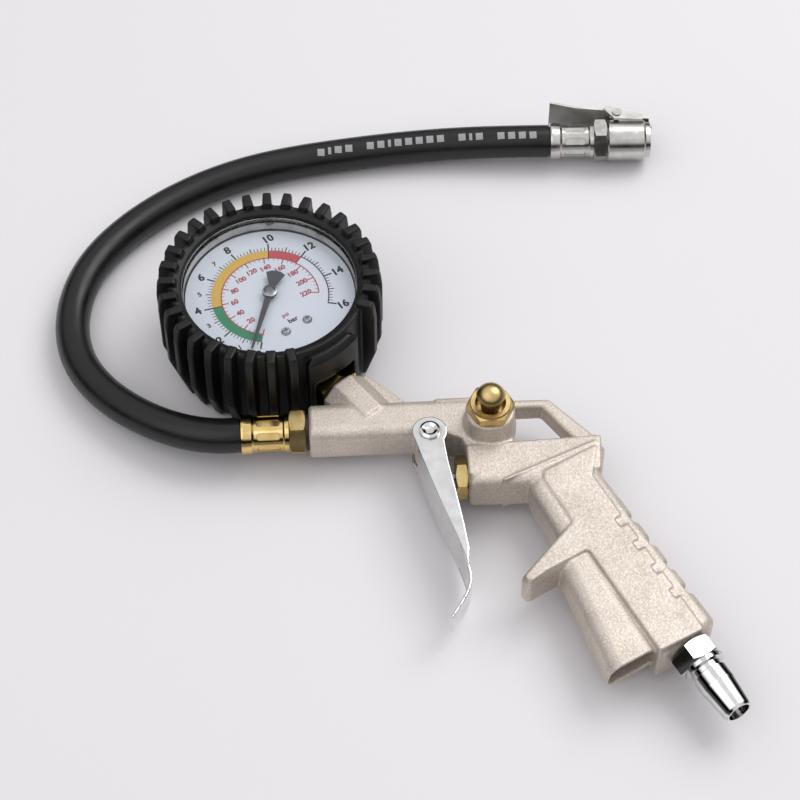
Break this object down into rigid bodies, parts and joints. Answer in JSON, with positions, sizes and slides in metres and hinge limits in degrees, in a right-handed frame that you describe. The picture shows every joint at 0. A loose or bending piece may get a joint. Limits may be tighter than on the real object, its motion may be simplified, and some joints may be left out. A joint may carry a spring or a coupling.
{
  "type": "tyre inflator with gauge",
  "caption": "Pistol-grip tyre inflator with a rubber-booted dial gauge, trigger valve, bleed button, hose and clip-on air chuck.",
  "frame": {"origin": "on the gauge axis at the flat back face of the rubber boot", "axes": "+Z along the gauge dial normal, +X along the barrel from the hose towards the handle, +Y from the barrel towards the gauge"},
  "size_m": [0.2222, 0.2603, 0.0401],
  "materials": {
    "cast_metal": "satin sand-cast grain",
    "chrome": "bright",
    "brass": "satin",
    "nickel": "satin nickel",
    "steel": "plain",
    "rubber_black": "matt",
    "dial_white": "matt white",
    "needle_grey": "satin",
    "lens_clear": "clear"
  },
  "bodies": {
    "gun": {"gun_body": "cast_metal", "inlet_plug": "chrome", "valve_gland": "brass", "gland_seal_ring": "rubber_black", "stem_o_ring": "rubber_black", "valve_spring": "steel", "trigger_pin": "chrome", "bleed_valve_body": "brass", "bleed_spring": "steel", "gauge_boot": "rubber_black", "gauge_case": "steel", "gauge_bezel": "chrome", "gauge_lens": "lens_clear", "dial_plate": "dial_white", "dial_screws": "steel", "zero_stop_pin": "steel", "bourdon_tube": "brass", "bourdon_end_piece": "brass", "gauge_socket": "brass", "socket_washer": "rubber_black", "movement_back_plate": "brass", "movement_front_plate": "brass", "movement_pillars": "brass", "hairspring": "steel", "hose": "rubber_black", "gun_ferrule": "brass", "gun_hose_fitting": "brass", "fitting_washer": "rubber_black", "chuck_ferrule": "nickel", "chuck_hose_fitting": "nickel", "chuck_body": "nickel", "chuck_nose_ring": "nickel", "chuck_seal": "rubber_black", "core_depressor": "brass", "clip_pin": "steel", "clip_spring": "steel"},
    "trigger": {"trigger_lever": "chrome"},
    "valve": {"valve_stem": "brass", "valve_seal": "rubber_black"},
    "bleed_plunger": {"bleed_button": "brass", "bleed_valve_disc": "brass", "bleed_seal": "rubber_black"},
    "sector": {"sector_gear": "brass", "link_pin": "brass"},
    "pointer": {"needle": "needle_grey", "needle_hub": "chrome", "pinion": "brass"},
    "link": {"sector_link": "brass"},
    "clip": {"clip_lever": "nickel"}
  },
  "joints": [
    {"name": "trigger_pull", "type": "hinge", "parent": "gun", "child": "trigger", "pos_m": [0.0518, -0.0552, 0.013], "axis": [0, 0, 1], "range_deg": [0, 12]},
    {"name": "valve_lift", "type": "slide", "parent": "gun", "child": "valve", "axis": [1, 0, 0], "range_m": [0, 0.0029], "deforming": ["valve_spring"]},
    {"name": "bleed_press", "type": "slide", "parent": "gun", "child": "bleed_plunger", "axis": [0, 0, -1], "range_m": [0, 0.0015], "deforming": ["bleed_spring"]},
    {"name": "sector_turn", "type": "hinge", "parent": "gun", "child": "sector", "pos_m": [0.01238, -0.00538, 0.019], "axis": [0, 0, 1], "range_deg": [0, 33.31]},
    {"name": "pointer_turn", "type": "hinge", "parent": "gun", "child": "pointer", "pos_m": [0, 0, 0.019], "axis": [0, 0, 1], "range_deg": [-267, 0]},
    {"name": "link_turn", "type": "hinge", "parent": "sector", "child": "link", "pos_m": [0.01735, -0.00957, 0.0202], "axis": [0, 0, 1], "range_deg": [-33.6, 0]},
    {"name": "clip_press", "type": "hinge", "parent": "gun", "child": "clip", "pos_m": [0.13009, 0.08893, 0.009], "axis": [0, 0, 1], "range_deg": [0, 5]}
  ],
  "couplings": [
    {"joint": "valve_lift", "follows": "trigger_pull", "m_per_rad": 0.0134},
    {"joint": "pointer_turn", "follows": "sector_turn", "ratio": -8},
    {"joint": "link_turn", "follows": "sector_turn", "ratio": -1}
  ]
}
